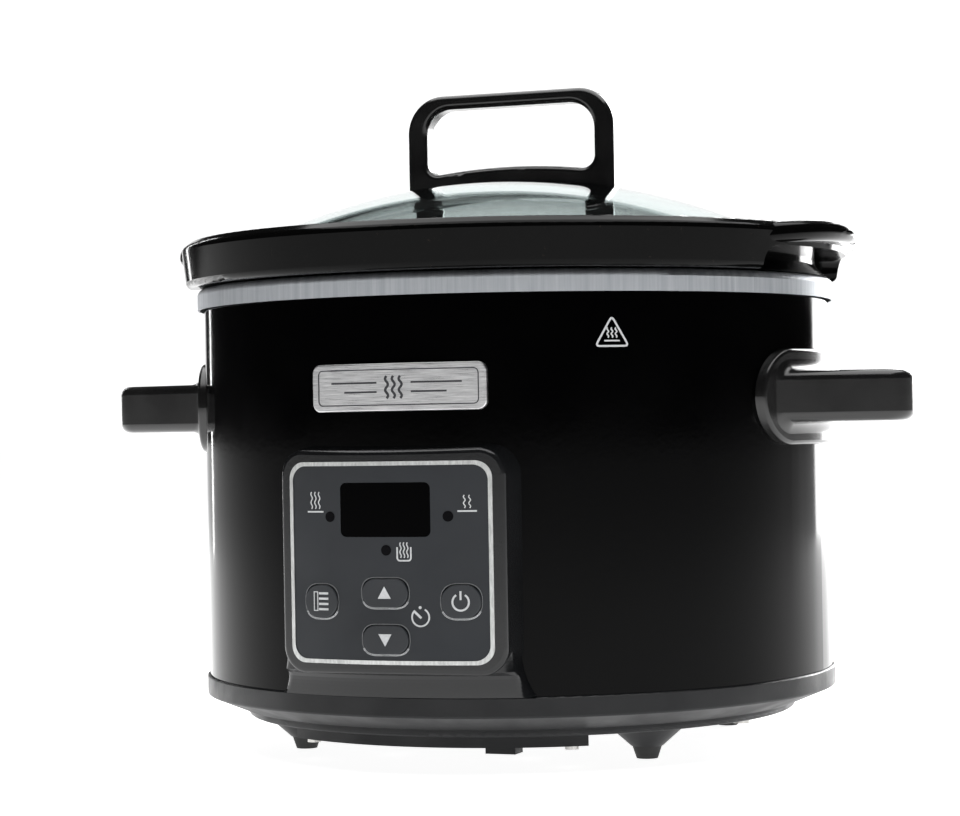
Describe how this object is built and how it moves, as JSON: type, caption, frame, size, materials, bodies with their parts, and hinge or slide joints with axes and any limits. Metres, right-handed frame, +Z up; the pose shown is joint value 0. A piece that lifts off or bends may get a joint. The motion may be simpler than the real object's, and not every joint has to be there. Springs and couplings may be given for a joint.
{
  "type": "slow cooker",
  "caption": "Compact round slow cooker: lift-out stoneware crock, domed glass lid with loop handle, steel body, digital panel and side handles.",
  "frame": {"origin": "centre of the overall box at the level of the feet, on the pot's axis", "axes": "+Z up, control panel towards -Y, side handles along X"},
  "size_m": [0.299, 0.2474, 0.233],
  "materials": {
    "black_enamel": "gloss",
    "brushed_band": "brushed",
    "base_plastic": "satin",
    "glazed_stoneware": "glazed",
    "lid_glass": "clear",
    "handle_plastic": "gloss",
    "panel_plastic": "satin",
    "fascia_film": "fine matte",
    "silver_line": "satin",
    "display_window": "gloss",
    "light_lens": "gloss",
    "badge_aluminium": "brushed",
    "button_face": "satin",
    "well_aluminium": "satin",
    "heater_foil": "foil",
    "steel_strap": "plain",
    "steel_fastener": "zinc plated",
    "glass_wool": "felt",
    "circuit_board": "solder mask",
    "component_black": "satin",
    "terminal_plastic": "satin",
    "gland_rubber": "matt",
    "foot_rubber": "matt",
    "wire_sleeve": "glass braid",
    "ribbon_vinyl": "satin"
  },
  "bodies": {
    "cooker": {"badge": "badge_aluminium", "badge_push_nuts": "steel_fastener", "band_heater": "heater_foil", "base_cover": "base_plastic", "base_ring": "base_plastic", "base_screws": "steel_fastener", "board_screws": "steel_fastener", "clamp_screw": "steel_fastener", "control_board": "circuit_board", "cord_gland": "gland_rubber", "display_module": "component_black", "display_window": "display_window", "electronics_cover": "base_plastic", "electronics_cover_screws": "steel_fastener", "foot_front_left": "foot_rubber", "foot_front_right": "foot_rubber", "foot_rear_left": "foot_rubber", "foot_rear_right": "foot_rubber", "gland_lock_nut": "component_black", "handle_plate_left": "steel_strap", "handle_plate_right": "steel_strap", "handle_screws": "steel_fastener", "heater_clamp": "steel_strap", "heater_lead_live": "wire_sleeve", "heater_lead_neutral": "wire_sleeve", "heating_well": "well_aluminium", "insulation_blanket": "glass_wool", "light_guides": "light_lens", "outer_shell": "black_enamel", "panel_bezel": "panel_plastic", "panel_fascia": "fascia_film", "panel_frame_line": "silver_line", "panel_screws": "steel_fastener", "power_board": "circuit_board", "relay": "component_black", "ribbon_cable": "ribbon_vinyl", "sensor_bracket": "steel_strap", "sensor_lead": "wire_sleeve", "side_handle_left": "handle_plastic", "side_handle_right": "handle_plastic", "smoothing_capacitor": "component_black", "tact_switches": "component_black", "temperature_sensor": "steel_fastener", "terminal_block": "terminal_plastic", "thermal_fuse": "steel_fastener", "thermal_fuse_clip": "steel_strap", "tie_nut": "steel_fastener", "tie_spring_washer": "steel_fastener", "tie_stud": "steel_fastener", "top_band": "brushed_band", "transformer": "component_black"},
    "crock": {"crock": "glazed_stoneware"},
    "lid": {"lid_glass": "lid_glass", "lid_handle": "handle_plastic", "lid_handle_washers": "handle_plastic", "lid_handle_screws": "steel_fastener"},
    "button_menu": {"button_menu": "button_face"},
    "button_up": {"button_up": "button_face"},
    "button_down": {"button_down": "button_face"},
    "button_power": {"button_power": "button_face"}
  },
  "joints": [
    {"name": "crock_lift", "type": "slide", "parent": "cooker", "child": "crock", "axis": [0, 0, 1], "range_m": [0, 0.16]},
    {"name": "lid_lift", "type": "slide", "parent": "crock", "child": "lid", "axis": [0, 0, 1], "range_m": [0, 0.12]},
    {"name": "button_menu_press", "type": "slide", "parent": "cooker", "child": "button_menu", "axis": [0, 1, 0], "range_m": [0, 0.0007], "stiffness_N_per_m": 900},
    {"name": "button_up_press", "type": "slide", "parent": "cooker", "child": "button_up", "axis": [0, 1, 0], "range_m": [0, 0.0007], "stiffness_N_per_m": 900},
    {"name": "button_down_press", "type": "slide", "parent": "cooker", "child": "button_down", "axis": [0, 1, 0], "range_m": [0, 0.0007], "stiffness_N_per_m": 900},
    {"name": "button_power_press", "type": "slide", "parent": "cooker", "child": "button_power", "axis": [0, 1, 0], "range_m": [0, 0.0007], "stiffness_N_per_m": 900}
  ]
}
